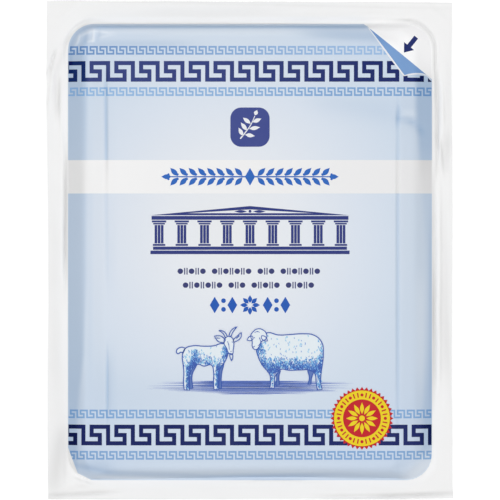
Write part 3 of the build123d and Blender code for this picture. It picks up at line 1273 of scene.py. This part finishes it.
def print_disc(name, radius, vertices, layer, finish, toothed=False):
    """Prints a disc of the seal, with pointed teeth if asked."""
    bpy.ops.object.select_all(action="DESELECT")
    bpy.ops.mesh.primitive_circle_add(vertices=vertices, radius=radius, fill_type="NGON",
                                      location=(0, 0, 0))
    disc = start_piece(name)
    if toothed:
        pick(disc, "VERT", lambda vertex: vertex.index % 2 == 1)
        bpy.ops.transform.resize(value=(seal_valley, seal_valley, 1), center_override=(0, 0, 0))
        bpy.ops.mesh.select_all(action="SELECT")
    bpy.ops.transform.translate(value=(*seal_middle, above_film))
    lay_print(disc, layer, finish)


print_disc("seal_teeth", seal_outer, 2 * seal_teeth, 3, seal_red, toothed=True)
print_disc("seal_yellow_disc", seal_yellow_radius, 64, 4, seal_yellow)
print_disc("seal_red_disc", seal_red_radius, 48, 5, seal_red)
seal_centre = seal_middle / mm
studs = []
petals = [ring(*seal_centre, 0.75)]
for i in range(stud_count):
    turn = i * 360 / stud_count
    middle = seal_centre + heading(turn) * stud_ring
    studs.append(bar(*middle, turn, 1.25, 0.34) if i % 3 else ring(*middle, 0.42))
    if i % 3 == 0:
        petals.append(leaf(*(seal_centre + heading(turn) * 1.15), turn, 3.1, 1.05))
print_shapes("seal_studs", studs, 5, seal_red, 2)
print_shapes("seal_flower", petals, 6, seal_yellow)


# ------------------------------------------------------------------ floor, lamps and camera
# A sheet of white paper under a wide soft box, with four small ones round it as in a light tent. The
# paper and the studio look white, and keep the pack's shadow; they throw no more light for it.

floor_size = 16
floor_gap = 0.05 * mm
paper_glow = 0.45
studio_light = 0.12
camera_height = 2.6
view_width = 133.3 * mm

bpy.ops.object.select_all(action="DESELECT")
bpy.ops.mesh.primitive_plane_add(size=floor_size, location=(0, 0, -floor_gap))
floor = bpy.context.object
floor.name = "floor"
finish = bpy.data.materials.new("floor_paper")
finish.use_nodes = True
tree = finish.node_tree
shader = tree.nodes["Principled BSDF"]
shader.inputs["Base Color"].default_value = (0.86, 0.86, 0.86, 1)
shader.inputs["Roughness"].default_value = 0.9
shader.inputs["Specular IOR Level"].default_value = 0.0


def seen(tree):
    """1 for what the camera, a mirror or a clear piece looks at, 0 for what only gives light."""
    path = tree.nodes.new("ShaderNodeLightPath")
    direct = calculate(tree, "MAXIMUM", path.outputs["Is Camera Ray"], path.outputs["Is Glossy Ray"])
    return calculate(tree, "MAXIMUM", direct, path.outputs["Is Transmission Ray"])


white = tree.nodes.new("ShaderNodeEmission")
white.inputs["Color"].default_value = (1, 1, 1, 1)
white.inputs["Strength"].default_value = paper_glow
glowing = tree.nodes.new("ShaderNodeAddShader")
mix = tree.nodes.new("ShaderNodeMixShader")
tree.links.new(seen(tree), mix.inputs["Fac"])
tree.links.new(shader.outputs["BSDF"], glowing.inputs[0])
tree.links.new(white.outputs["Emission"], glowing.inputs[1])
tree.links.new(shader.outputs["BSDF"], mix.inputs[1])
tree.links.new(glowing.outputs["Shader"], mix.inputs[2])
tree.links.new(mix.outputs["Shader"], tree.nodes["Material Output"].inputs["Surface"])
floor.data.materials.append(finish)


def soft_box(name, place, across, along, power):
    """Hangs a soft box that faces the pack."""
    box = bpy.data.lights.new(name, "AREA")
    box.shape = "RECTANGLE"
    box.size = across
    box.size_y = along
    box.energy = power
    lamp = bpy.data.objects.new(name, box)
    lamp.location = place
    lamp.rotation_euler = (-lamp.location).to_track_quat("-Z", "Y").to_euler()
    bpy.context.scene.collection.objects.link(lamp)


soft_box("soft_box_top", (0, 0.05, 2.0), 3.0, 3.0, 35.2)
soft_box("soft_box_head", (-0.15, 1.3, 0.8), 1.5, 0.9, 3.5)
soft_box("soft_box_foot", (-0.1, -1.3, 0.8), 1.5, 0.9, 3.5)
soft_box("soft_box_left", (-1.0, 0.05, 1.25), 1.0, 1.5, 3.2)
soft_box("soft_box_right", (1.0, 0.05, 1.25), 1.0, 1.5, 3.5)

world = bpy.data.worlds.new("studio")
world.use_nodes = True
bpy.context.scene.world = world
tree = world.node_tree
background = tree.nodes["Background"]
background.inputs["Color"].default_value = (1, 1, 1, 1)
tree.links.new(scale(tree, seen(tree), to_low=studio_light), background.inputs["Strength"])

bpy.context.scene.view_settings.view_transform = "Standard"

camera_data = bpy.data.cameras.new("camera")
camera = bpy.data.objects.new("camera", camera_data)
bpy.context.scene.collection.objects.link(camera)
camera_data.sensor_width = 36
camera_data.lens = camera_data.sensor_width * camera_height / view_width
camera.location = (0, 0, camera_height + film_low.z)
bpy.context.scene.camera = camera
